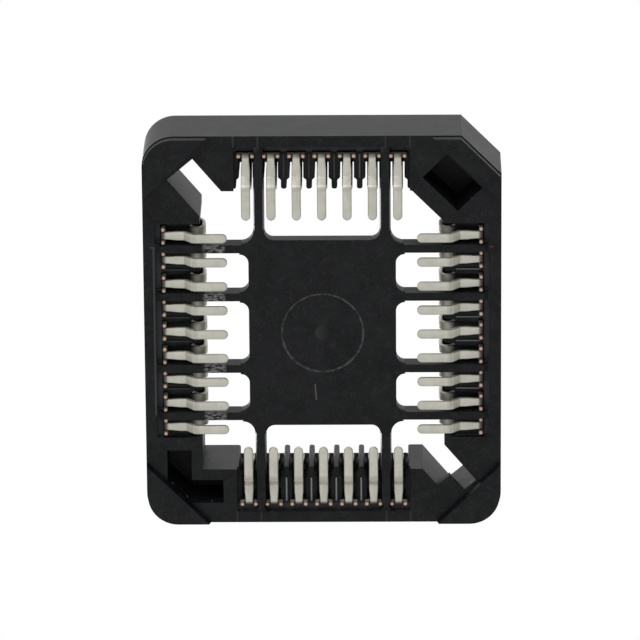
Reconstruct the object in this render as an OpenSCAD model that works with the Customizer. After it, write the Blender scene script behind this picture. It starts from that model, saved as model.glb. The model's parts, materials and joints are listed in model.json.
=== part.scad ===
// Surface-mount socket for a 32-lead plastic leaded chip carrier.
// Z = 0 is the board, +Z is the chip side. The short contact rows lie along X.
// "Row distance" is measured outward from the line through the end contacts of the two
// neighbouring rows, so every row uses the same distances.

/* [Contact pattern] */
// Distance between neighbouring contacts
pitch = 1.27; // [1.0:0.01:2.54]
// Contacts on each short side
short_count = 7; // [5:2:15]
// Contacts on each long side
long_count = 9; // [5:1:17]

/* [Housing body] */
// Row distance to the outer face of the wall
wall_face = 5.205; // [4.9:0.005:6]
// Height of the board-side face of the walls above the board
wall_foot = 0.60; // [0.4:0.01:0.75]
// Height of the rim above the board
rim_height = 4.30; // [4.1:0.01:5.2]
// Radius of the three rounded corners
corner_radius = 1.60; // [0.8:0.01:1.9]
// Length of the cut corner along each side
corner_cut = 2.00; // [1:0.01:2.5]
// Row distance to the inner wall of the chip pocket
pocket_face = 2.33; // [2.25:0.01:2.5]
// Length along each wall of the slanted key corner of the chip pocket
key_cut = 1.62; // [0.6:0.01:2]

/* [Corner feet] */
// Height of the corner feet above the board
foot_clear = 0.10; // [0.02:0.01:0.3]
// How far the feet stand in from the outer faces
foot_inset = 0.06; // [0.02:0.01:0.2]
// Length of each foot along the outer faces
foot_leg = 3.34; // [2.5:0.01:3.4]
// Length of the foot at the cut corner
cut_foot_leg = 3.54; // [3:0.01:3.66]
// Slope of the slanted side of the feet, as a run over its height
foot_draft = 0.08; // [0.02:0.01:0.15]

/* [Corner slots and pockets] */
// Direction of the extraction slots from the long row, in degrees
slot_angle = 50; // [40:0.5:55]
// Width of the extraction slots
slot_width = 1.68; // [1:0.01:2]
// How far the extraction slots reach out past the corner of the chip pocket
slot_reach = 1.51; // [0.5:0.01:1.8]
// How far the shelf in one slot stands back from the pocket corner
shelf_start = 0.45; // [0.3:0.01:1.2]
// Width of the shelf
shelf_width = 0.80; // [0.3:0.01:1.2]
// Thickness of the shelf
shelf_thick = 0.50; // [0.2:0.01:1]
// Width of the blind pocket behind the cut corner, across the corner
key_pocket_depth = 1.73; // [0.8:0.01:1.8]
// Length of the blind pocket behind the cut corner
key_pocket_length = 2.51; // [1:0.01:3]
// Wall between the blind pocket and the slanted side of its foot
key_pocket_wall = 0.11; // [0.05:0.01:0.12]
// Wall outside the angled blind pocket
angle_pocket_wall = 1.06; // [0.9:0.01:1.3]
// Width of the legs of the angled blind pocket
angle_pocket_width = 1.24; // [0.6:0.01:1.4]
// Distance from the outer faces to the ends of the angled blind pocket
angle_pocket_reach = 3.90; // [2.8:0.01:4]
// Material left above the blind pockets
pocket_roof = 1.00; // [0.5:0.01:2]

/* [Contact slots] */
// Depth of the channel along each row
channel_depth = 0.40; // [0.2:0.01:0.6]
// Row distance to the outer wall of the channel
channel_face = 4.62; // [4.5:0.01:4.8]
// How far the channel runs past the end contacts
channel_end = 0.61; // [0.55:0.01:0.75]
// Width of a contact slot between the dividers
slot_gap = 0.69; // [0.64:0.01:0.75]
// Width of the thin nose of a divider
nose_width = 0.29; // [0.15:0.01:0.4]
// Row distance at which the nose of a divider begins
nose_start = 2.79; // [2.6:0.01:2.9]
// Length of the slanted shoulders of a divider
nose_shoulder = 0.13; // [0.05:0.01:0.2]
// Corner rounding at the end of a nose
nose_round = 0.10; // [0.04:0.01:0.14]
// Row distance to the back of the open part of a contact slot
slot_back = 3.65; // [3.3:0.01:3.8]
// Height of the low tunnel behind the open part, above the channel
tunnel_height = 0.45; // [0.35:0.01:0.8]
// Width of the raised line along each divider
ridge_width = 0.10; // [0.06:0.01:0.2]
// Height of the raised line along each divider
ridge_height = 0.08; // [0.03:0.01:0.2]

/* [Centre plate] */
// Height of the centre plate above the board
plate_foot = 0.30; // [0.25:0.01:0.45]
// Thickness of the centre plate and its ribs
plate_thick = 0.76; // [0.72:0.01:1.2]
// Row distance of the plate's long edges, negative inside the end contacts
plate_edge_x = -0.10; // [-0.6:0.01:0]
// Row distance of the plate's short edges, negative inside the end contacts
plate_edge_y = -0.16; // [-0.6:0.01:0]
// Width of a rib on its board side
rib_foot = 0.42; // [0.3:0.01:0.5]
// Width of a rib on its chip side
rib_width = 0.56; // [0.45:0.01:0.6]
// Radius where a rib meets the plate
rib_fillet = 0.45; // [0.2:0.01:0.6]
// Radius of the hollow corner between the outermost ribs
corner_fillet = 0.62; // [0.5:0.01:0.8]
// Radius of the round mark in the middle of the plate
mark_radius = 2.05; // [1:0.01:2.8]
// Depth of the round mark
mark_depth = 0.04; // [0.02:0.01:0.1]
// Radius of the dimple in the middle of the mark
dimple_radius = 0.30; // [0.1:0.01:0.6]
// Depth of the dimple
dimple_depth = 0.10; // [0.04:0.01:0.2]

/* [Contacts] */
// Thickness of the contact strip
strip = 0.20; // [0.15:0.01:0.22]
// Row distance of the upright base of a contact
base_face = 4.21; // [4.1:0.01:4.3]
// Width of the base
base_width = 0.92; // [0.86:0.01:1]
// Clearance between a base and its slot
base_clearance = 0.02; // [0.01:0.005:0.04]
// Height of the ends of the two prongs above the board
prong_end = 0.45; // [0.35:0.01:0.55]
// Width of each prong
prong_width = 0.23; // [0.15:0.01:0.24]
// Height of the top of the base above the board
base_top = 3.40; // [2.6:0.01:3.6]
// Width of the two upright barbs of the base
barb_width = 0.15; // [0.1:0.01:0.16]
// Row distance of the tip of the solder tail
tail_tip = 0.96; // [0.6:0.01:1.3]
// Width of the flat part of the solder tail
tail_width = 0.47; // [0.4:0.01:0.55]
// Width of the solder tail at its root
tail_root_width = 0.40; // [0.3:0.01:0.44]
// Row distance at which the tail leaves the board
tail_rise = 2.62; // [2.3:0.01:2.8]
// Angle of the rising part of the tail
tail_angle = 52; // [35:1:65]
// Height of the tail's root above the board
tail_root = 0.55; // [0.5:0.01:0.6]
// Row distance at which the tail starts to narrow
tail_taper = 3.05; // [2.9:0.01:3.3]
// Length over which the tail narrows
taper_length = 0.50; // [0.3:0.01:0.7]
// Bend radius of the strip at its middle
bend = 0.15; // [0.12:0.01:0.2]
// Width of the spring
spring_width = 0.58; // [0.4:0.01:0.6]
// Height of the lower leg of the spring above the board
spring_foot = 1.02; // [1.0:0.01:1.1]
// Slope of the lower leg of the spring, in degrees
leg_slope = 4; // [0:0.5:6]
// Radius of the spring's turn at its middle
turn_radius = 0.38; // [0.25:0.01:0.5]
// Row distance of the spring face that the chip leads press on
spring_face = 2.06; // [1.9:0.01:2.2]
// Height at which the spring starts to lean back
belly_height = 2.05; // [1.7:0.01:2.3]
// Radius of the spring's belly at its middle
belly_radius = 1.20; // [0.6:0.01:2]
// How far the spring leans back, in degrees
lean = 35; // [15:1:40]
// Height of the spring's end above the board
spring_top = 3.75; // [3.2:0.01:3.9]

/* [Hidden] */
$fn = 72;
over = 1;
lap = 0.05;
bend_step = 9;
contact_count = 2 * (short_count + long_count);

half_x = (short_count - 1) / 2 * pitch;
half_y = (long_count - 1) / 2 * pitch;
body_x = half_x + wall_face;
body_y = half_y + wall_face;
pocket_x = half_x + pocket_face;
pocket_y = half_y + pocket_face;
channel_foot = wall_foot + channel_depth;
plastic = [0.09, 0.09, 0.10];
tin = [0.78, 0.77, 0.73];

// Sides in order: +Y, -X, -Y, +X. Position runs along a side in the order of the contact numbers.
module on_side(side, position) {
    angle = 90 * (side + 1);
    reach = side % 2 == 0 ? half_y : half_x;
    rotate(angle) translate([reach, position, 0]) children();
}

function side_count(side) = side % 2 == 0 ? short_count : long_count;
function side_half(side) = (side_count(side) - 1) / 2 * pitch;

// ---- strip metal: a bent strip is a list of [straight length, bend radius, bend angle] ----

// The middle line as [x, y, heading], from a start point and heading.
function trail(steps, x, y, heading, i = 0) = i == len(steps) ? [] :
    let (run = steps[i][0], radius = steps[i][1], angle = steps[i][2], way = sign(angle),
         x1 = x + run * cos(heading), y1 = y + run * sin(heading),
         count = max(1, ceil(abs(angle) / bend_step)),
         x2 = x1 + way * radius * (sin(heading + angle) - sin(heading)),
         y2 = y1 - way * radius * (cos(heading + angle) - cos(heading)))
    concat(i == 0 ? [[x, y, heading]] : [],
           run > 0 ? [[x1, y1, heading]] : [],
           angle == 0 ? [] : [for (k = [1 : count]) let (h = heading + angle * k / count)
               [x1 + way * radius * (sin(h) - sin(heading)), y1 - way * radius * (cos(h) - cos(heading)), h]],
           trail(steps, x2, y2, heading + angle, i + 1));

module bent_strip(steps, x, y, heading) {
    line = trail(steps, x, y, heading);
    last = len(line) - 1;
    polygon(concat(
        [for (p = line) [p[0] - strip / 2 * sin(p[2]), p[1] + strip / 2 * cos(p[2])]],
        [for (k = [0 : last]) let (p = line[last - k]) [p[0] + strip / 2 * sin(p[2]), p[1] - strip / 2 * cos(p[2])]]));
}

// Turns a drawing in (row distance, height) into a solid of the given width.
module across(width) {
    rotate([90, 0, 0]) linear_extrude(height = width, center = true) children();
}

tail_slope = (tail_root - 2 * bend * (1 - cos(tail_angle))) / sin(tail_angle);
tail_run = 2 * bend * sin(tail_angle) + tail_slope * cos(tail_angle);
tail_steps = [
    [tail_rise - tail_tip, bend, tail_angle],
    [tail_slope, bend, -tail_angle],
    [base_face - bend - tail_rise - tail_run, bend, 90],
    [lap, 0, 0]
];
base_foot = tail_root + strip / 2 + bend;

leg_middle = spring_foot + strip / 2;
base_head = leg_middle - bend;
spring_middle = spring_face + strip / 2;
leg_start = base_face - bend * (1 + sin(leg_slope));
leg_end = spring_middle + turn_radius * (1 + sin(leg_slope));
leg_length = (leg_start - leg_end) / cos(leg_slope);
leg_top = base_head + bend * cos(leg_slope);
turn_end = leg_top - leg_length * sin(leg_slope) + turn_radius * cos(leg_slope);
lean_end = belly_height + belly_radius * sin(lean);
spring_steps = [
    [lap, bend, 90 + leg_slope],
    [leg_length, turn_radius, -(90 + leg_slope)],
    [belly_height - turn_end, belly_radius, -lean],
    [(spring_top - lean_end) / cos(lean), 0, 0]
];

module solder_tail() {
    taper_end = tail_taper + taper_length;
    tip = tail_tip + tail_width / 2;
    intersection() {
        across(tail_width) bent_strip(tail_steps, tail_tip, strip / 2, 0);
        translate([0, 0, -over]) linear_extrude(height = 2 * over + base_foot + lap) union() {
            translate([tip, 0]) circle(d = tail_width);
            polygon([[tip, -tail_width / 2], [tail_taper, -tail_width / 2], [taper_end, -tail_root_width / 2],
                     [base_face + strip, -tail_root_width / 2], [base_face + strip, tail_root_width / 2],
                     [taper_end, tail_root_width / 2], [tail_taper, tail_width / 2], [tip, tail_width / 2]]);
        }
    }
}

module contact_spring() {
    across(spring_width) bent_strip(spring_steps, base_face, base_head - lap, 90);
}

module contact_base() {
    back = base_face - strip / 2;
    translate([back, -base_width / 2, base_foot]) cube([strip, base_width, base_head - base_foot]);
    for (way = [-1, 1]) {
        translate([back, way * (base_width - prong_width) / 2 - prong_width / 2, prong_end])
            cube([strip, prong_width, base_head - prong_end]);
        translate([back, way * (base_width - barb_width) / 2 - barb_width / 2, base_foot])
            cube([strip, barb_width, base_top - base_foot]);
    }
}

module contact() {
    solder_tail();
    contact_spring();
    contact_base();
}

// Contact 1 is in the middle of the +Y side; the numbers run on towards -X.
module placed_contact(number) {
    index = (number - 1 + floor((short_count - 1) / 2)) % contact_count;
    side = index < short_count ? 0
         : index < short_count + long_count ? 1
         : index < 2 * short_count + long_count ? 2 : 3;
    first = [0, short_count, short_count + long_count, 2 * short_count + long_count][side];
    on_side(side, (index - first) * pitch - side_half(side)) contact();
}

// ---- housing ----

// What rounding takes off a square corner, in the first quadrant.
module nook(radius) {
    difference() {
        square(radius + over);
        circle(r = radius);
    }
}

// The corners are 0: +X+Y, 1: -X+Y (cut), 2: -X-Y, 3: +X-Y.
module outline(inset) {
    x = body_x - inset;
    y = body_y - inset;
    cut = corner_cut - inset * (2 - sqrt(2));
    difference() {
        square([2 * x, 2 * y], center = true);
        for (corner = [0, 2, 3])
            translate([(corner == 0 || corner == 3 ? 1 : -1) * (body_x - corner_radius),
                       (corner == 0 ? 1 : -1) * (body_y - corner_radius)])
                rotate(90 * corner) nook(corner_radius - inset);
        polygon([[-x - over, y - cut - over], [-x + cut + over, y + over], [-x - over, y + over]]);
    }
}

module wall_block() {
    translate([0, 0, wall_foot]) linear_extrude(height = rim_height - wall_foot) outline(0);
}

// A frame with its origin in a corner of the body and its X axis pointing inward across the corner.
module in_corner(corner) {
    translate([(corner == 0 || corner == 3 ? 1 : -1) * body_x, (corner < 2 ? 1 : -1) * body_y, 0])
        rotate(225 + 90 * corner) children();
}

// The board-side foot in one corner; leg is its length along the outer faces.
module corner_foot(corner, leg) {
    across_leg = leg / sqrt(2);
    intersection() {
        translate([0, 0, foot_clear]) linear_extrude(height = wall_foot - foot_clear + over) outline(foot_inset);
        in_corner(corner) rotate([90, 0, 0]) linear_extrude(height = 4 * leg, center = true)
            polygon([[-over, foot_clear - over], [across_leg - foot_draft, foot_clear - over],
                     [across_leg - foot_draft, foot_clear], [across_leg, wall_foot],
                     [across_leg, wall_foot + 0.1], [-over, wall_foot + 0.1]]);
    }
}

module chip_pocket() {
    translate([0, 0, -over]) linear_extrude(height = rim_height + 2 * over)
        polygon([[pocket_x, pocket_y], [-pocket_x + key_cut, pocket_y], [-pocket_x, pocket_y - key_cut],
                 [-pocket_x, -pocket_y], [pocket_x, -pocket_y]]);
}

// Frame of an extraction slot, with its origin in the corner of the chip pocket.
module at_slot(way) {
    rotate(way > 0 ? 0 : 180) translate([pocket_x, pocket_y, 0]) rotate(slot_angle) children();
}

module extraction_slot(way) {
    at_slot(way) translate([-slot_width, -slot_width / 2, -over])
        cube([slot_width + slot_reach, slot_width, rim_height + 2 * over]);
}

module slot_shelf() {
    at_slot(-1) translate([shelf_start, slot_width / 2 - shelf_width, wall_foot])
        cube([slot_reach - shelf_start + 0.1, shelf_width + 0.1, shelf_thick]);
}

module key_pocket() {
    start = cut_foot_leg / sqrt(2) + key_pocket_wall;
    in_corner(1) translate([start, -key_pocket_length / 2, -over])
        cube([key_pocket_depth, key_pocket_length, rim_height - pocket_roof + over]);
}

// An angled blind pocket along two walls, with its outer corner cut off by the foot.
module angle_pocket() {
    near = angle_pocket_wall;
    far = near + angle_pocket_width;
    translate([body_x, -body_y, -over]) linear_extrude(height = rim_height - pocket_roof + over)
        polygon([[-near, angle_pocket_reach], [-near, foot_leg - near], [near - foot_leg, near],
                 [-angle_pocket_reach, near], [-angle_pocket_reach, far], [-far, far], [-far, angle_pocket_reach]]);
}

module channel(side) {
    long = side_half(side) + channel_end;
    on_side(side, 0) translate([0, -long, -over]) cube([channel_face, 2 * long, channel_foot + over]);
}

// The space of one contact: an open slot, a tunnel for the leg and a slot for the base.
module contact_slot() {
    wide = (pitch - nose_width) / 2;
    narrow = slot_gap / 2;
    shoulder = nose_start + nose_shoulder;
    base_back = base_face + strip / 2 + base_clearance;
    translate([0, 0, wall_foot]) linear_extrude(height = rim_height - wall_foot + over)
        polygon([[pocket_face - over, -wide - over - nose_round], [pocket_face, -wide - nose_round],
                 [pocket_face + 0.3 * nose_round, -wide - 0.3 * nose_round],
                 [pocket_face + nose_round, -wide], [nose_start, -wide], [shoulder, -narrow], [slot_back, -narrow],
                 [slot_back, narrow], [shoulder, narrow], [nose_start, wide], [pocket_face + nose_round, wide],
                 [pocket_face + 0.3 * nose_round, wide + 0.3 * nose_round],
                 [pocket_face, wide + nose_round], [pocket_face - over, wide + over + nose_round]]);
    translate([slot_back - 0.1, -narrow, wall_foot])
        cube([base_back - slot_back + 0.1, slot_gap, channel_depth + tunnel_height]);
}

// The narrow slot that holds the base of one contact.
module base_slot() {
    translate([base_face - strip / 2 - base_clearance, -base_width / 2 - base_clearance, -over])
        cube([strip + 2 * base_clearance, base_width + 2 * base_clearance, base_top + base_clearance + over]);
}

module at_contacts() {
    for (side = [0 : 3], k = [0 : side_count(side) - 1]) on_side(side, k * pitch - side_half(side)) children();
}

module divider_ridges(side) {
    on_side(side, 0) for (k = [1 : side_count(side) - 1])
        translate([nose_start + nose_shoulder, (k - 1 / 2) * pitch - side_half(side) - ridge_width / 2, channel_foot - ridge_height])
            cube([base_face - nose_start - nose_shoulder, ridge_width, ridge_height + 0.1]);
}

// One rib from the centre plate to the wall, drafted, with a ramp up to the wall's foot.
module rib(edge) {
    root = plate_foot + plate_thick;
    ramp = wall_foot - plate_foot;
    intersection() {
        rotate([90, 0, 90]) linear_extrude(height = channel_face + over)
            polygon([[-rib_foot / 2, plate_foot], [rib_foot / 2, plate_foot], [rib_width / 2, root], [-rib_width / 2, root]]);
        rotate([90, 0, 0]) linear_extrude(height = 2 * rib_width, center = true)
            polygon([[edge - over, plate_foot], [channel_face - ramp, plate_foot],
                     [channel_face + 0.1, wall_foot + 0.1], [channel_face + 0.1, root], [edge - over, root]]);
    }
}

function rib_spots(side) = let (outer = side_half(side) - pitch / 2, inner = outer - 2 * pitch)
    side % 2 == 0 ? [-outer, outer] : [-outer, -inner, inner, outer];

module ribs(side) {
    edge = side % 2 == 0 ? plate_edge_y : plate_edge_x;
    spots = rib_spots(side);
    clear = rib_width / 2 + rib_fillet;
    on_side(side, 0) for (k = [0 : len(spots) - 1]) translate([0, spots[k], 0]) {
        rib(edge);
        for (way = [-1, 1]) if (way == -1 ? k > 0 : k < len(spots) - 1)
            translate([edge + rib_fillet, way * clear, plate_foot]) rotate(way > 0 ? 180 : 90)
                linear_extrude(height = plate_thick) intersection() {
                    nook(rib_fillet);
                    square(rib_fillet + 0.1);
                }
    }
}

module centre_plate() {
    rib_x = half_x - pitch / 2;
    rib_y = half_y - pitch / 2;
    clear = rib_width / 2 + corner_fillet;
    difference() {
        translate([0, 0, plate_foot]) linear_extrude(height = plate_thick) difference() {
            union() {
                square([2 * (half_x + plate_edge_x), 2 * (half_y + plate_edge_y)], center = true);
                for (way_x = [-1, 1], way_y = [-1, 1])
                    translate([way_x * (rib_x + clear / 2), way_y * (rib_y + clear / 2)]) square(clear, center = true);
            }
            for (way_x = [-1, 1], way_y = [-1, 1])
                translate([way_x * (rib_x + clear), way_y * (rib_y + clear)]) circle(r = corner_fillet);
        }
        translate([0, 0, plate_foot - over]) cylinder(r = mark_radius, h = over + mark_depth);
        translate([0, 0, plate_foot + mark_depth - 0.01]) cylinder(r1 = dimple_radius, r2 = dimple_radius / 3, h = dimple_depth);
    }
}

module housing_walls() {
    difference() {
        union() {
            wall_block();
            for (corner = [0 : 3]) corner_foot(corner, corner == 1 ? cut_foot_leg : foot_leg);
        }
        chip_pocket();
        for (side = [0 : 3]) channel(side);
        at_contacts() contact_slot();
        extraction_slot(1);
        extraction_slot(-1);
        key_pocket();
        angle_pocket();
    }
}

module housing() {
    difference() {
        union() {
            housing_walls();
            slot_shelf();
            centre_plate();
            for (side = [0 : 3]) {
                ribs(side);
                divider_ridges(side);
            }
        }
        at_contacts() base_slot();
    }
}

color(plastic) housing();
for (i = [1 : contact_count])
    color(tin) placed_contact(i);
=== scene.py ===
"""Surface-mount chip socket, looked at from its board side.

Lengths are written in millimetres and turned into metres by MM. The board is at Z = 0 and the chip
goes in from +Z. The housing is a copy of its solid, with its rib roots closed, its contact slots
partly covered and its edges rounded. The contacts are swept here from their own sizes.
"""

import json
import math

import bmesh
import bpy
from mathutils import Matrix, Vector

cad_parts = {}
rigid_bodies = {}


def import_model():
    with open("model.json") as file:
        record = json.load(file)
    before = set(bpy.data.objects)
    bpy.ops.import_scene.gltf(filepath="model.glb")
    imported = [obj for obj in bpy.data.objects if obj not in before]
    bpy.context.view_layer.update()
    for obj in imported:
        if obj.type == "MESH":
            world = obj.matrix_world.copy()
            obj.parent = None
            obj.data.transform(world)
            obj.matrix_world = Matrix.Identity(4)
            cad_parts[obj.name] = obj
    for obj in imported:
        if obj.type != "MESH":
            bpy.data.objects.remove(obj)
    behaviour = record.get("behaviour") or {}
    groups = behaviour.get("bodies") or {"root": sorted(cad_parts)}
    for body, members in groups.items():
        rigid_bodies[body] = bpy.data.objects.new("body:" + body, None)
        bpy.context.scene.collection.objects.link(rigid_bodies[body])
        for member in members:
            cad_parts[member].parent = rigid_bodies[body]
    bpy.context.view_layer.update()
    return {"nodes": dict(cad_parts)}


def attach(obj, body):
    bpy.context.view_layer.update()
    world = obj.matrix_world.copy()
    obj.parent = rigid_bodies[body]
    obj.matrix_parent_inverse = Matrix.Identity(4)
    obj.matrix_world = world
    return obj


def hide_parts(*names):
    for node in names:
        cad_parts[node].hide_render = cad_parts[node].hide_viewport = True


MM = 0.001
PITCH = 1.27
HALF_X, HALF_Y = 3 * PITCH, 4 * PITCH
WALL_FOOT = 0.60
PLATE_FOOT = 0.30
MARK_RADIUS = 2.05
RIM_HEIGHT = 4.30
COVER_START, COVER_END, COVER_FOOT = 2.78, 3.80, 4.12
scene = bpy.context.scene
for leftover in list(bpy.data.objects):
    bpy.data.objects.remove(leftover)

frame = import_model()
contact_names = sorted(
    (name for name in frame["nodes"] if name.startswith("contact_")),
    key=lambda name: int(name.split("_")[1]),
)


# ---------------------------------------------------------------- shader arithmetic


class Value:
    """One shader socket. Arithmetic on it adds the nodes that work it out."""

    def __init__(self, graph, socket):
        self.graph = graph
        self.socket = socket

    def manifold(self):
        """True where the socket holds three numbers: a colour or a vector."""
        return self.socket.type in ("VECTOR", "RGBA")

    def __add__(self, other):
        return self.graph.work("ADD", self, other)

    def __sub__(self, other):
        return self.graph.work("SUBTRACT", self, other)

    def __mul__(self, other):
        return self.graph.work("MULTIPLY", self, other)

    def __truediv__(self, other):
        return self.graph.work("DIVIDE", self, other)

    def __rsub__(self, other):
        return self.graph.work("SUBTRACT", other, self)

    def __pow__(self, other):
        return self.graph.work("POWER", self, other)

    def __gt__(self, other):
        return self.graph.work("GREATER_THAN", self, other)

    def __abs__(self):
        return self.graph.work("ABSOLUTE", self)

    def most(self, other):
        return self.graph.work("MAXIMUM", self, other)

    def split(self):
        """The three parts of a vector."""
        node = self.graph.node("SeparateXYZ", {}, {"Vector": self})
        return [Value(self.graph, part) for part in node.outputs]


class Graph:
    """The nodes of one material or of the world."""

    def __init__(self, tree):
        self.tree = tree
        tree.nodes.clear()

    def node(self, kind, settings, sockets):
        """Adds a node: its settings first, then the values or links of its sockets."""
        made = self.tree.nodes.new("ShaderNode" + kind)
        for name, value in settings.items():
            if name == "stops":
                self.set_stops(made.color_ramp, value)
            else:
                setattr(made, name, value)
        for name, value in sockets.items():
            socket = self.socket(made, name)
            if isinstance(value, Value):
                self.tree.links.new(value.socket, socket)
            else:
                socket.default_value = value
        return made

    def add(self, kind, settings, sockets, out=0):
        """Adds a node and gives one of its outputs."""
        return Value(self, self.node(kind, settings, sockets).outputs[out])

    @staticmethod
    def socket(made, name):
        """An input by its place, its identifier or its name."""
        if isinstance(name, int):
            return made.inputs[name]
        for socket in made.inputs:
            if socket.identifier == name:
                return socket
        return made.inputs[name]

    @staticmethod
    def set_stops(ramp, stops):
        while len(ramp.elements) < len(stops):
            ramp.elements.new(1.0)
        for element, (place, level) in zip(ramp.elements, stops):
            element.position = place
            grey = isinstance(level, (int, float))
            element.color = (level, level, level, 1.0) if grey else level

    def work(self, operation, *terms):
        """One Math node, or a Vector Math node where a term is a vector or a colour."""
        if any(isinstance(term, Value) and term.manifold() for term in terms):
            spread = [term if isinstance(term, Value) else self.triple(term) for term in terms]
            return self.add("VectorMath", {"operation": operation}, dict(enumerate(spread)))
        return self.add("Math", {"operation": operation}, dict(enumerate(terms)))

    @staticmethod
    def triple(term):
        return tuple(term)[:3] if hasattr(term, "__len__") else (term, term, term)

    def mix(self, factor, first, second):
        """first where factor is 0, second where it is 1. Numbers, vectors or colours."""
        pair = (first, second)
        wide = any(hasattr(p, "__len__") or (isinstance(p, Value) and p.manifold()) for p in pair)
        kind, tail = ("RGBA", "Color") if wide else ("FLOAT", "Float")
        sockets = {"Factor_Float": factor}
        for name, p in zip("AB", pair):
            if wide and not isinstance(p, Value):
                p = (*self.triple(p), 1.0)
            sockets[f"{name}_{tail}"] = p
        return self.add("Mix", {"data_type": kind}, sockets, out=2 if wide else 0)

    def ramp(self, value, low, high):
        """Goes smoothly from 0 at low to 1 at high. low may be the larger number."""
        return self.add(
            "MapRange",
            {"interpolation_type": "SMOOTHSTEP"},
            {"Value": value, "From Min": low, "From Max": high},
        )

    def noise(self, place, scale, detail=3.0, rough=0.55):
        return self.add(
            "TexNoise", {}, {"Vector": place, "Scale": scale, "Detail": detail, "Roughness": rough}
        )


def new_material(name):
    material = bpy.data.materials.new(name)
    material.use_nodes = True
    return material, Graph(material.node_tree)


def finish_material(graph, bsdf):
    graph.node("OutputMaterial", {}, {"Surface": bsdf})


# ---------------------------------------------------------------- materials

# Fine light lines on the wall's foot at the ends and outer edges of the contact channels: partly
# painted edge highlights, partly mould lines. Across X or Y: place, start and end along, width,
# strength.
MOULD_AND_HIGHLIGHT_LINES = (
    ("X", 8.485, -4.46, 4.45, 0.07, 1.0),
    ("Y", 4.45, 8.32, 8.66, 0.07, 1.0),
    ("X", -8.39, -4.46, 5.59, 0.04, 0.7),
    ("Y", 4.45, -8.60, -8.36, 0.06, 0.8),
)
# Short light lines on the wall's foot beyond the end rows: partly painted edge highlights, partly
# mould lines.
SHORT_MOULD_AND_HIGHLIGHT_LINES = (3.2, 4.43)
DIMPLE_RADIUS = 0.35
ROUGH_X = 5.45
# Row distances of the channel backs that get painted fill light.
CHANNEL_BACK_FILL = (4.28, 4.68)
CORNER_CUT_SUM = 16.5
# Height of the painted highlight line on the dividers.
DIVIDER_GLINT_HEIGHT = 0.92
GLINT_PLACE = 2.75


def row_frame(g, place):
    """Row distance and place along the row, for a point near any of the four rows."""
    x, y, _ = place.split()
    from_long = abs(x) - HALF_X
    from_short = abs(y) - HALF_Y
    long_side = from_long > from_short
    along = g.mix(long_side, x, y)
    offset = g.work("WRAP", along, PITCH / 2, -PITCH / 2)
    return from_long.most(from_short), offset, long_side


def line_mask(g, across, along, place, start, end, width):
    """1 on a fine straight line: its place across, its start and end along."""
    near = g.ramp(abs(across - place), width, width * 0.4)
    middle, half = (start + end) / 2, abs(end - start) / 2
    return near * g.ramp(abs(along - middle), half + 0.03, half)


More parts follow.
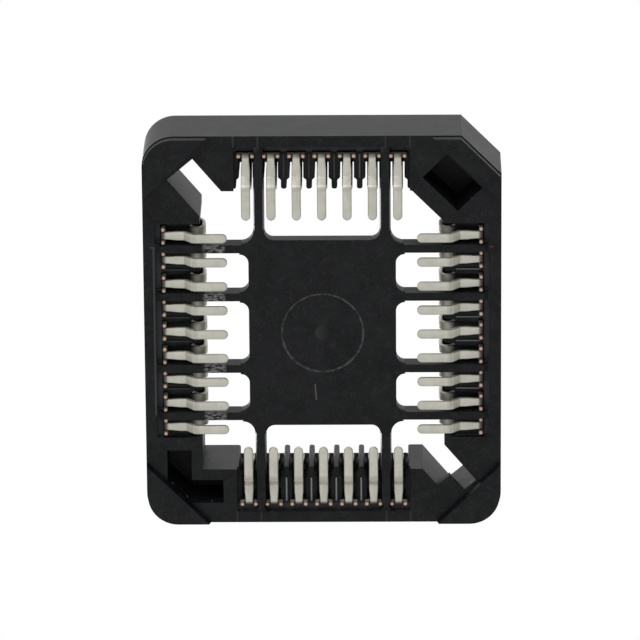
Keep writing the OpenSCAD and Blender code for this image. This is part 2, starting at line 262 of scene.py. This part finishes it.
def moulded_plastic():
    """Near-black glass-filled moulding: satin, mottled and scuffed, with fine mould lines. Its
    colour also carries painted highlights on channel edges, dividers and the dimple, and painted
    fill light in the channel backs and under the slot covers.
    """
    material, g = new_material("moulded_plastic")
    place = g.add("TexCoord", {}, {}, out=3) / MM
    x, y, z = place.split()
    clouds = g.noise(place, 0.9, 5.0, 0.65)
    patches = g.noise(place, 2.6, 4.0, 0.7)
    grain = g.noise(place, 14.0, 2.0, 0.6)
    base = g.mix(g.ramp(clouds, 0.35, 0.65), (0.0016, 0.0024, 0.0032), (0.0074, 0.0084, 0.0092))
    tint = g.noise(place, 0.55, 2.0, 0.5)
    base = g.mix(g.ramp(tint, 0.5, 0.7) * 0.5, base, (0.0072, 0.0062, 0.0098))
    base = g.mix(g.ramp(patches, 0.50, 0.70) * 0.6, base, (0.0160, 0.0165, 0.0180))
    base = g.mix(g.ramp(grain, 0.52, 0.72) * 0.50, base, (0.027, 0.028, 0.030))
    wall_foot = g.ramp(abs(z - WALL_FOOT), 0.06, 0.03)
    lines = None
    for axis, at, start, end, width, strength in MOULD_AND_HIGHLIGHT_LINES:
        across, along = (x, y) if axis == "X" else (y, x)
        line = line_mask(g, across, along, at, start, end, width) * strength
        lines = lines.most(line) if lines else line
    for at in SHORT_MOULD_AND_HIGHLIGHT_LINES:
        lines = lines.most(line_mask(g, abs(x), abs(y), at, 9.70, 10.28, 0.05) * 0.6)
    # Painted edge highlights and mould lines: the fine light lines on the wall's foot.
    base = g.mix(lines * wall_foot * g.mix(patches, 0.5, 1.0), base, (0.055, 0.055, 0.058))
    radius = (x * x + y * y) ** 0.5
    ring = g.ramp(abs(radius - MARK_RADIUS + (patches - 0.5) * 0.06), 0.060, 0.025)
    ring = ring * g.mix(g.ramp(patches, 0.38, 0.60), 0.25, 1.0)
    # Painted highlight: the dimple in the middle of the round mark, lighter towards +X.
    dimple = g.ramp(radius, 0.46, 0.30) * g.ramp(x, -0.45, 0.40)
    plate = g.ramp(z, 0.46, 0.42)
    scratch = line_mask(g, x - y * 0.08, y, 0.62, -3.55, -2.75, 0.045)
    scratch = scratch * g.ramp(patches, 0.30, 0.42)
    # The ring mark, the painted dimple highlight and the scratch, lightened together on the plate.
    marks_and_highlight = (ring * 0.85).most(dimple * 0.22).most(scratch)
    base = g.mix(marks_and_highlight * plate, base, (0.085, 0.088, 0.086))
    torn = g.noise(place * (1.0, 3.0, 1.0), 3.2, 3.0, 0.7)
    rib_line = g.ramp(abs(abs(abs(y) - 2.5 * PITCH) - PITCH), 0.36, 0.20)
    rough_patch = rib_line * g.ramp(abs(x - ROUGH_X), 0.62, 0.45)
    rough_patch = rough_patch * g.ramp(torn, 0.44, 0.54) * g.ramp(z, 1.0, 0.8)
    base = g.mix(rough_patch * 0.9, base, (0.20, 0.20, 0.195))
    distance, offset, _ = row_frame(g, place)
    # Painted fill light: the back of each contact channel, beyond the prongs, lightened where it
    # lies in shade.
    near, far = CHANNEL_BACK_FILL
    channel_back_fill = g.ramp(distance, near, near + 0.06) * g.ramp(distance, far, far - 0.06)
    channel_back_fill = channel_back_fill * g.ramp(z, 0.64, 0.72) * g.ramp(z, 4.20, 4.10)
    channel_back_fill = channel_back_fill * g.ramp(abs(x) + abs(y), CORNER_CUT_SUM, CORNER_CUT_SUM - 0.5)
    base = g.mix(channel_back_fill, base, (0.034, 0.036, 0.040))
    # Painted highlight: a fine light line on each divider between contacts, full on the -Y row and
    # fainter on the others.
    divider_glint = g.ramp(abs(abs(offset) - PITCH / 2), 0.048, 0.028) * g.ramp(distance, 2.85, 2.95)
    divider_glint = divider_glint * g.ramp(distance, 4.20, 4.10) * g.ramp(abs(z - DIVIDER_GLINT_HEIGHT), 0.07, 0.04)
    divider_glint = divider_glint * g.mix(g.ramp(y, -5.6, -6.4), g.mix(g.ramp(x, 0.0, -3.0), 0.12, 0.45), 1.0)
    base = g.mix(divider_glint, base, (0.24, 0.245, 0.255))
    # Painted fill light: the underside of the slot covers lightened where it lies in shade.
    under_cover_fill = g.ramp(distance, COVER_START - 0.03, COVER_START)
    under_cover_fill = under_cover_fill * g.ramp(abs(z - COVER_FOOT), 0.012, 0.006)
    under_cover_fill = under_cover_fill * g.ramp(distance, COVER_END + 0.03, COVER_END)
    base = g.mix(under_cover_fill, base, (0.22, 0.22, 0.19))
    rough = g.mix(clouds, 0.40, 0.56) + (grain - 0.5) * 0.12
    bump = g.add(
        "Bump",
        {},
        {"Strength": 0.35, "Distance": 0.008 * MM, "Height": grain + patches * 2.0 + rough_patch},
    )
    bsdf = g.add(
        "BsdfPrincipled",
        {},
        {
            "Base Color": base,
            "Roughness": rough,
            "Normal": bump,
            "Specular IOR Level": 0.22,
        },
    )
    finish_material(g, bsdf)
    return material


def tin_plate():
    """Satin tin over a copper alloy. The cut ends of the prongs show the bare copper. Its colour
    also carries painted shade at the tail roots, the tail bends, the springs and their legs, and a
    painted glint on the tail.
    """
    material, g = new_material("tin_plate")
    place = g.add("TexCoord", {}, {}, out=3) / MM
    z = place.split()[2]
    distance, offset, long_side = row_frame(g, place)
    nx, ny, _ = g.add("NewGeometry", {}, {}, out=1).split()
    clouds = g.noise(place, 1.4, 4.0, 0.6)
    grain = g.noise(place, 16.0, 3.0, 0.65)
    streaks = g.add("CombineXYZ", {}, {"X": distance * 0.6, "Y": offset * 14.0, "Z": z})
    drawn = g.noise(streaks, 1.0, 2.0)
    tin = g.mix(g.ramp(clouds, 0.3, 0.7), (0.64, 0.63, 0.545), (0.76, 0.745, 0.655))
    tin = g.mix(g.ramp(drawn, 0.5, 0.8) * 0.35, tin, (0.48, 0.46, 0.39))
    sideways = abs(g.mix(long_side, nx, ny))
    edge = g.ramp(sideways, 0.30, 0.85)
    tin = g.mix(edge * g.ramp(z, 1.0, 0.9) * 0.45, tin, (0.16, 0.15, 0.12))
    # Painted shade: the tail's root darkened where it bends up close to the wall.
    root = g.ramp(distance, 4.00, 4.20) * g.ramp(z, 1.05, 0.9)
    tin = g.mix(root * 0.80, tin, (0.06, 0.055, 0.05))
    low = g.ramp(z, 0.5, 0.3)
    # Painted shade: a dark line along the tail's lower bend.
    tin = g.mix(g.ramp(abs(distance - TAIL_RISE), 0.12, 0.04) * 0.22 * low, tin, (0.30, 0.29, 0.25))
    glint = g.ramp(abs(distance - GLINT_PLACE), 0.06, 0.02) * low * 0.5
    tin = g.mix(glint, tin, (0.86, 0.85, 0.78))
    # Painted shade: the springs darker the higher they reach into their slots.
    deep = g.ramp(z, 1.12, 1.26) * g.ramp(edge, 0.8, 0.3)
    spring_shade = g.mix(g.ramp(z, 1.45, 2.1), (0.52, 0.525, 0.455), (0.22, 0.225, 0.185))
    tin = g.mix(deep * 0.93, tin, spring_shade)
    # Painted shade: the spring's lower leg darkened to near black.
    leg = g.ramp(distance, 2.50, 2.92) * g.ramp(z, 0.85, 0.95)
    tin = g.mix(leg * 0.97, tin, (0.012, 0.012, 0.012))
    prong_middle = (BASE_WIDTH - PRONG_WIDTH) / 2
    core_distance = ((abs(offset) - prong_middle) ** 2.0 + (distance - BASE_FACE) ** 2.0) ** 0.5
    cut_end = g.ramp(z, 0.60, 0.54) * g.ramp(distance, 4.00, 4.06) * g.ramp(abs(offset), 0.20, 0.23)
    rim = g.ramp(core_distance + (clouds - 0.5) * 0.08, 0.06, 0.105)
    copper = g.mix(rim, (0.66, 0.50, 0.41), (0.20, 0.105, 0.055))
    base = g.mix(cut_end, tin, copper)
    rough = g.mix(clouds, 0.46, 0.58) + (grain - 0.5) * 0.10
    bump = g.add("Bump", {}, {"Strength": 0.3, "Distance": 0.004 * MM, "Height": grain + drawn})
    bsdf = g.add(
        "BsdfPrincipled",
        {},
        {
            "Base Color": base,
            "Metallic": g.mix(deep, 0.62, 0.75),
            "Roughness": rough,
            "Normal": bump,
        },
    )
    finish_material(g, bsdf)
    return material


def floor_finish():
    """Pale floor, shown only to a camera above it: the board side is seen from below."""
    material, g = new_material("pale_floor")
    paths = g.node("LightPath", {}, {})
    camera_ray = Value(g, paths.outputs["Is Camera Ray"])
    below = g.add("NewGeometry", {}, {}, out=6)
    shown = camera_ray * (1.0 - below)
    pale = g.add("BsdfDiffuse", {}, {"Color": (0.86, 0.86, 0.85, 1.0)})
    clear = g.add("BsdfTransparent", {}, {})
    finish_material(g, g.add("MixShader", {}, {0: shown, 1: clear, 2: pale}))
    return material


# ---------------------------------------------------------------- pieces


def finish_piece(name, mesh, material, node):
    """Puts a mesh in the scene as the piece that stands for one node."""
    mesh.materials.clear()
    mesh.materials.append(material)
    piece = bpy.data.objects.new(name, mesh)
    scene.collection.objects.link(piece)
    weighted = piece.modifiers.new("even_normals", "WEIGHTED_NORMAL")
    weighted.mode = "FACE_AREA"
    weighted.weight = 80
    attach(piece, "root")
    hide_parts(node)
    return piece


def round_edges(work, width, steps, sharp_angle, wanted=lambda edge: True):
    """Rounds the sharp edges of a mesh that are wanted."""
    sharp = [
        edge
        for edge in work.edges
        if len(edge.link_faces) == 2 and edge.calc_face_angle() > sharp_angle and wanted(edge)
    ]
    bmesh.ops.bevel(
        work,
        geom=sharp,
        offset=width * MM,
        offset_type="OFFSET",
        segments=steps,
        profile=0.5,
        affect="EDGES",
        clamp_overlap=True,
    )


def merge_flat(work):
    """Joins faces that lie in one plane."""
    bmesh.ops.dissolve_limit(
        work, angle_limit=math.radians(FLAT_DEGREES), verts=work.verts, edges=work.edges
    )


WELD = 0.0006
FLAT_DEGREES = 0.7
COVER_LAP, COVER_SINK = 0.60, 0.005
# Row distance of the plate's edge and the places of the ribs along it: short sides, long sides.
RIB_ROOTS = {
    "short": (-0.16, (-2.5 * PITCH, 2.5 * PITCH)),
    "long": (-0.10, (-3.5 * PITCH, -1.5 * PITCH, 1.5 * PITCH, 3.5 * PITCH)),
}
ROOT_MARGIN, ROOT_HALF_WIDTH = 0.004, 0.30


def at_rib_root(point):
    """True in the narrow strip between the plate's edge and the start of a rib."""
    x, y = point.x / MM, point.y / MM
    for kind, distance, along in (("short", abs(y) - HALF_Y, x), ("long", abs(x) - HALF_X, y)):
        edge, spots = RIB_ROOTS[kind]
        beside = min(abs(along - spot) for spot in spots) < ROOT_HALF_WIDTH
        if edge - ROOT_MARGIN < distance < ROOT_MARGIN and beside:
            return True
    return False


def close_rib_roots(work):
    """Closes the pinholes beside the plate, so that each rib grows straight out of it."""
    walls = [
        face
        for face in work.faces
        if abs(face.normal.z) < 0.5 and all(at_rib_root(vert.co) for vert in face.verts)
    ]
    bmesh.ops.delete(work, geom=walls, context="FACES")
    rims = [edge for edge in work.edges if edge.is_boundary]
    bmesh.ops.holes_fill(work, edges=rims, sides=0)


def add_box(work, turn, low, high):
    """A plain box between two corners in millimetres, turned about Z."""
    corners = [
        work.verts.new(turn @ (Vector((x, y, z)) * MM))
        for x in (low[0], high[0])
        for y in (low[1], high[1])
        for z in (low[2], high[2])
    ]
    ends = ((0, 1, 3, 2), (4, 6, 7, 5))
    sides = ((0, 4, 5, 1), (2, 3, 7, 6))
    lids = ((0, 2, 6, 4), (1, 5, 7, 3))
    for face in ends + sides + lids:
        work.faces.new([corners[k] for k in face])


def cover_slots(work):
    """The thin rim over the outer part of the contact slots, under which the springs move."""
    for side in range(4):
        reach, half = (HALF_Y, HALF_X) if side % 2 == 0 else (HALF_X, HALF_Y)
        turn = Matrix.Rotation(math.radians(90 * (side + 1)), 4, "Z")
        low = (reach + COVER_START, -half - COVER_LAP, COVER_FOOT)
        high = (reach + COVER_END, half + COVER_LAP, RIM_HEIGHT - COVER_SINK)
        add_box(work, turn, low, high)


def flatten_dimple(work):
    """Makes the dimple in the middle of the round mark as shallow as a dent."""
    floor = (PLATE_FOOT + 0.05) * MM
    for vert in work.verts:
        if vert.co.xy.length < DIMPLE_RADIUS * MM and floor < vert.co.z < 0.5 * MM:
            vert.co.z = floor


def dressed_housing(material):
    """The moulding, with its rib roots closed and its edges rounded, more so under the plate."""
    mesh = frame["nodes"]["housing"].data.copy()
    mesh.name = "housing_moulding"
    work = bmesh.new()
    work.from_mesh(mesh)
    bmesh.ops.remove_doubles(work, verts=work.verts, dist=WELD * MM)
    close_rib_roots(work)
    flatten_dimple(work)
    merge_flat(work)
    round_edges(
        work, 0.08, 3, math.radians(50),
        lambda edge: all(abs(vert.co.z - PLATE_FOOT * MM) < 0.002 * MM for vert in edge.verts),
    )
    round_edges(work, 0.03, 2, math.radians(32))
    cover_slots(work)
    for face in work.faces:
        face.smooth = True
    work.to_mesh(mesh)
    work.free()
    return finish_piece("housing_moulding", mesh, material, "housing")


# ---------------------------------------------------------------- contacts

STRIP = 0.20
STRIP_EDGE, CORNER_STEPS = 0.045, 3
LONGEST_RUN, LARGEST_TURN = 0.09, 7
BASE_FACE = 4.18
BASE_WIDTH = 0.92
PRONG_END, PRONG_WIDTH = 0.45, 0.23
BASE_TOP, BARB_WIDTH = 3.40, 0.15
BEND = 0.15
TAIL_TIP, TAIL_RISE, TAIL_KNEE = 0.96, 2.56, 0.50
TAIL_STEEP, TAIL_GENTLE = math.radians(50), math.radians(3)
TAIL_BEND = 0.20
TAIL_WIDTH, TAIL_ROOT_WIDTH = 0.46, 0.38
SPRING_FACE, SPRING_FOOT, SPRING_TOP = 2.06, 1.42, 3.75
SPRING_WIDTH = 0.54
LEG_SLOPE, TURN_RADIUS = math.radians(4), 0.36
BELLY_HEIGHT, BELLY_RADIUS, LEAN = 2.05, 1.20, math.radians(35)


def bent_line(steps, distance, height, heading):
    """The middle line of a bent strip: points with their heading. A step is a run and a bend."""
    points = [(distance, height, heading)]
    for run, radius, angle in steps:
        pieces = max(1, math.ceil(run / LONGEST_RUN))
        for _ in range(pieces if run > 0 else 0):
            distance += run / pieces * math.cos(heading)
            height += run / pieces * math.sin(heading)
            points.append((distance, height, heading))
        count = math.ceil(abs(math.degrees(angle)) / LARGEST_TURN)
        for _ in range(count):
            turn = angle / count
            chord = 2 * radius * math.sin(abs(turn) / 2)
            distance += chord * math.cos(heading + turn / 2)
            height += chord * math.sin(heading + turn / 2)
            heading += turn
            points.append((distance, height, heading))
    return points


def swept_strip(work, line, width_at):
    """Sweeps a rounded strip section along a line; width_at gives its width at a point."""
    rings = []
    for distance, height, heading in line:
        half_width = width_at(distance, height) / 2
        corner = min(STRIP_EDGE, half_width * 0.9)
        ring = []
        for quarter, (way_w, way_n) in enumerate(((1, 1), (-1, 1), (-1, -1), (1, -1))):
            for step in range(CORNER_STEPS + 1):
                angle = math.radians(90 * (quarter + step / CORNER_STEPS))
                across = way_w * (half_width - corner) + corner * math.cos(angle)
                out = way_n * (STRIP / 2 - STRIP_EDGE) + STRIP_EDGE * math.sin(angle)
                ring.append(work.verts.new((
                    (distance - out * math.sin(heading)) * MM,
                    across * MM,
                    (height + out * math.cos(heading)) * MM,
                )))
        rings.append(ring)
    for first, second in zip(rings, rings[1:]):
        for k in range(len(first)):
            after = (k + 1) % len(first)
            work.faces.new((first[k], first[after], second[after], second[k]))
    work.faces.new(list(reversed(rings[0])))
    work.faces.new(rings[-1])


def tail_line():
    """The solder tail: flat on the board, steep up to its knee, then gently up to the base."""
    steep = (
        TAIL_KNEE - TAIL_BEND * (1 + math.cos(TAIL_GENTLE) - 2 * math.cos(TAIL_STEEP))
    ) / math.sin(TAIL_STEEP)
    knee_end = TAIL_RISE + TAIL_BEND * (2 * math.sin(TAIL_STEEP) - math.sin(TAIL_GENTLE))
    knee_end += steep * math.cos(TAIL_STEEP)
    gentle = (BASE_FACE - BEND * (1 - math.sin(TAIL_GENTLE)) - knee_end) / math.cos(TAIL_GENTLE)
    base_foot = STRIP / 2 + TAIL_KNEE
    base_foot += gentle * math.sin(TAIL_GENTLE) + BEND * math.cos(TAIL_GENTLE)
    tip_steps = [TAIL_WIDTH / 2 * (1 - math.cos(math.radians(a))) for a in range(0, 91, 18)]
    line = [(TAIL_TIP + part, STRIP / 2, 0.0) for part in tip_steps[:-1]]
    start = TAIL_TIP + tip_steps[-1]
    line += bent_line(
        [
            (TAIL_RISE - start, TAIL_BEND, TAIL_STEEP),
            (steep, TAIL_BEND, TAIL_GENTLE - TAIL_STEEP),
            (gentle, BEND, math.radians(90) - TAIL_GENTLE),
            (0.05, 0.0, 0.0),
        ],
        start, STRIP / 2, 0.0,
    )
    return line, base_foot


def tail_width(distance, height):
    """Round at the tip, even as far as the knee, then narrowing to the root."""
    from_tip = distance - TAIL_TIP
    half = TAIL_WIDTH / 2
    if from_tip < half:
        return max(0.10, 2 * math.sqrt(max(0.0, half * half - (half - from_tip) ** 2)))
    share = min(1.0, max(0.0, (distance - 3.40) / 0.60))
    return TAIL_WIDTH + (TAIL_ROOT_WIDTH - TAIL_WIDTH) * share * share * (3 - 2 * share)


def spring_line():
    """The spring: inward from the base, up round its turn, a belly, then leaning back."""
    middle = SPRING_FACE + STRIP / 2
    leg_middle = SPRING_FOOT + STRIP / 2
    base_head = leg_middle - BEND
    leg_start = BASE_FACE - BEND * (1 + math.sin(LEG_SLOPE))
    leg_end = middle + TURN_RADIUS * (1 + math.sin(LEG_SLOPE))
    leg = (leg_start - leg_end) / math.cos(LEG_SLOPE)
    turn_end = base_head - leg * math.sin(LEG_SLOPE) + (BEND + TURN_RADIUS) * math.cos(LEG_SLOPE)
    lean_end = BELLY_HEIGHT + BELLY_RADIUS * math.sin(LEAN)
    steps = [
        (0.05, BEND, math.radians(90) + LEG_SLOPE),
        (leg, TURN_RADIUS, -math.radians(90) - LEG_SLOPE),
        (BELLY_HEIGHT - turn_end, BELLY_RADIUS, -LEAN),
        ((SPRING_TOP - lean_end) / math.cos(LEAN), 0.0, 0.0),
    ]
    return bent_line(steps, BASE_FACE, base_head - 0.05, math.radians(90)), base_head


def spring_width(distance, height):
    """A little narrower round the turn."""
    share = min(1.0, max(0.0, (height - SPRING_FOOT - STRIP / 2) / 0.35))
    return SPRING_WIDTH - 0.10 * (1 - share) ** 2


def add_base(work, base_foot, base_head):
    """The upright base: a flat blank with two prongs at its foot and two barbs at its head."""
    half, prong, barb = BASE_WIDTH / 2, BASE_WIDTH / 2 - PRONG_WIDTH, BASE_WIDTH / 2 - BARB_WIDTH
    right = [
        (0.0, base_foot), (prong, base_foot), (prong, PRONG_END), (half, PRONG_END),
        (half, BASE_TOP), (barb, BASE_TOP), (barb, base_head), (0.0, base_head),
    ]
    outline = right + [(-w, z) for w, z in reversed(right[1:-1])]
    front = [work.verts.new(((BASE_FACE - STRIP / 2) * MM, w * MM, z * MM)) for w, z in outline]
    blank = work.faces.new(front)
    thick = bmesh.ops.extrude_face_region(work, geom=[blank])
    moved = [item for item in thick["geom"] if isinstance(item, bmesh.types.BMVert)]
    bmesh.ops.translate(work, verts=moved, vec=(STRIP * MM, 0, 0))
    bmesh.ops.recalc_face_normals(work, faces=work.faces)
    round_edges(work, 0.05, 3, math.radians(60))


def contact_shape():
    """One contact in its own frame: X is the row distance, Y runs along the row."""
    work = bmesh.new()
    line, base_foot = tail_line()
    spring, base_head = spring_line()
    add_base(work, base_foot, base_head)
    swept_strip(work, line, tail_width)
    swept_strip(work, spring, spring_width)
    bmesh.ops.recalc_face_normals(work, faces=work.faces)
    for face in work.faces:
        face.smooth = True
    mesh = bpy.data.meshes.new("contact_shape")
    work.to_mesh(mesh)
    work.free()
    return mesh


def contact_place(number):
    """Contact 1 is in the middle of the +Y side; the numbers run on towards -X."""
    counts = (7, 9, 7, 9)
    index = (number + 2) % sum(counts)
    side = 0
    while index >= counts[side]:
        index -= counts[side]
        side += 1
    reach = HALF_Y if side % 2 == 0 else HALF_X
    along = (index - (counts[side] - 1) / 2) * PITCH
    return Matrix.Rotation(math.radians(90 * (side + 1)), 4, "Z") @ Matrix.Translation(
        Vector((reach, along, 0)) * MM
    )


plastic = moulded_plastic()
tin = tin_plate()
housing = dressed_housing(plastic)
shape = contact_shape()
for node in contact_names:
    mesh = shape.copy()
    mesh.name = node + "_strip"
    mesh.transform(contact_place(int(node.split("_")[1])))
    strip = finish_piece(node + "_strip", mesh, tin, node)
bpy.data.meshes.remove(shape)

# ---------------------------------------------------------------- stage, light and camera

HALF_FLOOR, FLOOR_DROP = 1.5, 0.004
floor_mesh = bpy.data.meshes.new("floor")
floor_mesh.from_pydata(
    [(x * HALF_FLOOR, y * HALF_FLOOR, 0) for x, y in ((-1, -1), (1, -1), (1, 1), (-1, 1))],
    [],
    [(0, 1, 2, 3)],
)
floor = bpy.data.objects.new("floor", floor_mesh)
floor.location.z = -FLOOR_DROP * MM
floor_mesh.materials.append(floor_finish())
scene.collection.objects.link(floor)

world = bpy.data.worlds.new("studio")
scene.world = world
world.use_nodes = True
g = Graph(world.node_tree)
_, toward, height = g.add("TexCoord", {}, {}, out=0).split()
paths = g.node("LightPath", {}, {})
camera_ray, glossy_ray, clear_ray = (
    Value(g, paths.outputs[name])
    for name in ("Is Camera Ray", "Is Glossy Ray", "Is Transmission Ray")
)
room = g.mix(g.ramp(height, -0.25, 0.15), 0.16, 1.0) * g.mix(g.ramp(toward, 0.2, 0.7), 1.0, 1.4)
mirrored = glossy_ray.most(clear_ray)
strength = g.mix(camera_ray, g.mix(mirrored, 0.55, room), 1.0)
background = g.add("Background", {}, {"Color": (1.0, 1.0, 1.0, 1.0), "Strength": strength})
g.node("OutputWorld", {}, {"Surface": background})


LAMP_TARGET = Vector((0, 0, 2))


def softbox(name, place, size, power):
    """A square area lamp turned towards LAMP_TARGET; place and size are in millimetres."""
    lamp = bpy.data.lights.new(name, "AREA")
    lamp.shape = "SQUARE"
    lamp.size = size * MM
    lamp.energy = power
    holder = bpy.data.objects.new(name, lamp)
    holder.location = Vector(place) * MM
    holder.rotation_euler = (LAMP_TARGET - Vector(place)).to_track_quat("-Z", "Y").to_euler()
    scene.collection.objects.link(holder)


softbox("front_box", (30, -110, -420), 420, 0.42)
softbox("high_box", (120, 330, -200), 220, 0.48)
softbox("top_box", (160, -260, 420), 300, 1.2)

CAMERA_TARGET = Vector((0.124, 0.794, 0.0)) * MM
CAMERA_DISTANCE = 296.447 * MM
CAMERA_SIDE, CAMERA_RISE, CAMERA_ROLL = 92.272, -71.472, -1.967
CAMERA_LENS, CAMERA_SENSOR = 331.03, 36.0
side, rise = math.radians(CAMERA_SIDE), math.radians(CAMERA_RISE)
outward = Vector(
    (math.cos(rise) * math.cos(side), math.cos(rise) * math.sin(side), math.sin(rise))
)
camera = bpy.data.objects.new("camera", bpy.data.cameras.new("camera"))
camera.data.sensor_width = CAMERA_SENSOR
camera.data.lens = CAMERA_LENS
camera.data.clip_start = 0.01
camera.data.clip_end = 20.0
turn = (-outward).to_track_quat("-Z", "Y").to_matrix().to_4x4()
camera.matrix_world = (
    Matrix.Translation(CAMERA_TARGET + outward * CAMERA_DISTANCE)
    @ turn
    @ Matrix.Rotation(math.radians(-CAMERA_ROLL), 4, "Z")
)
scene.collection.objects.link(camera)
scene.camera = camera
scene.view_settings.view_transform = "Standard"

bpy.context.view_layer.update()
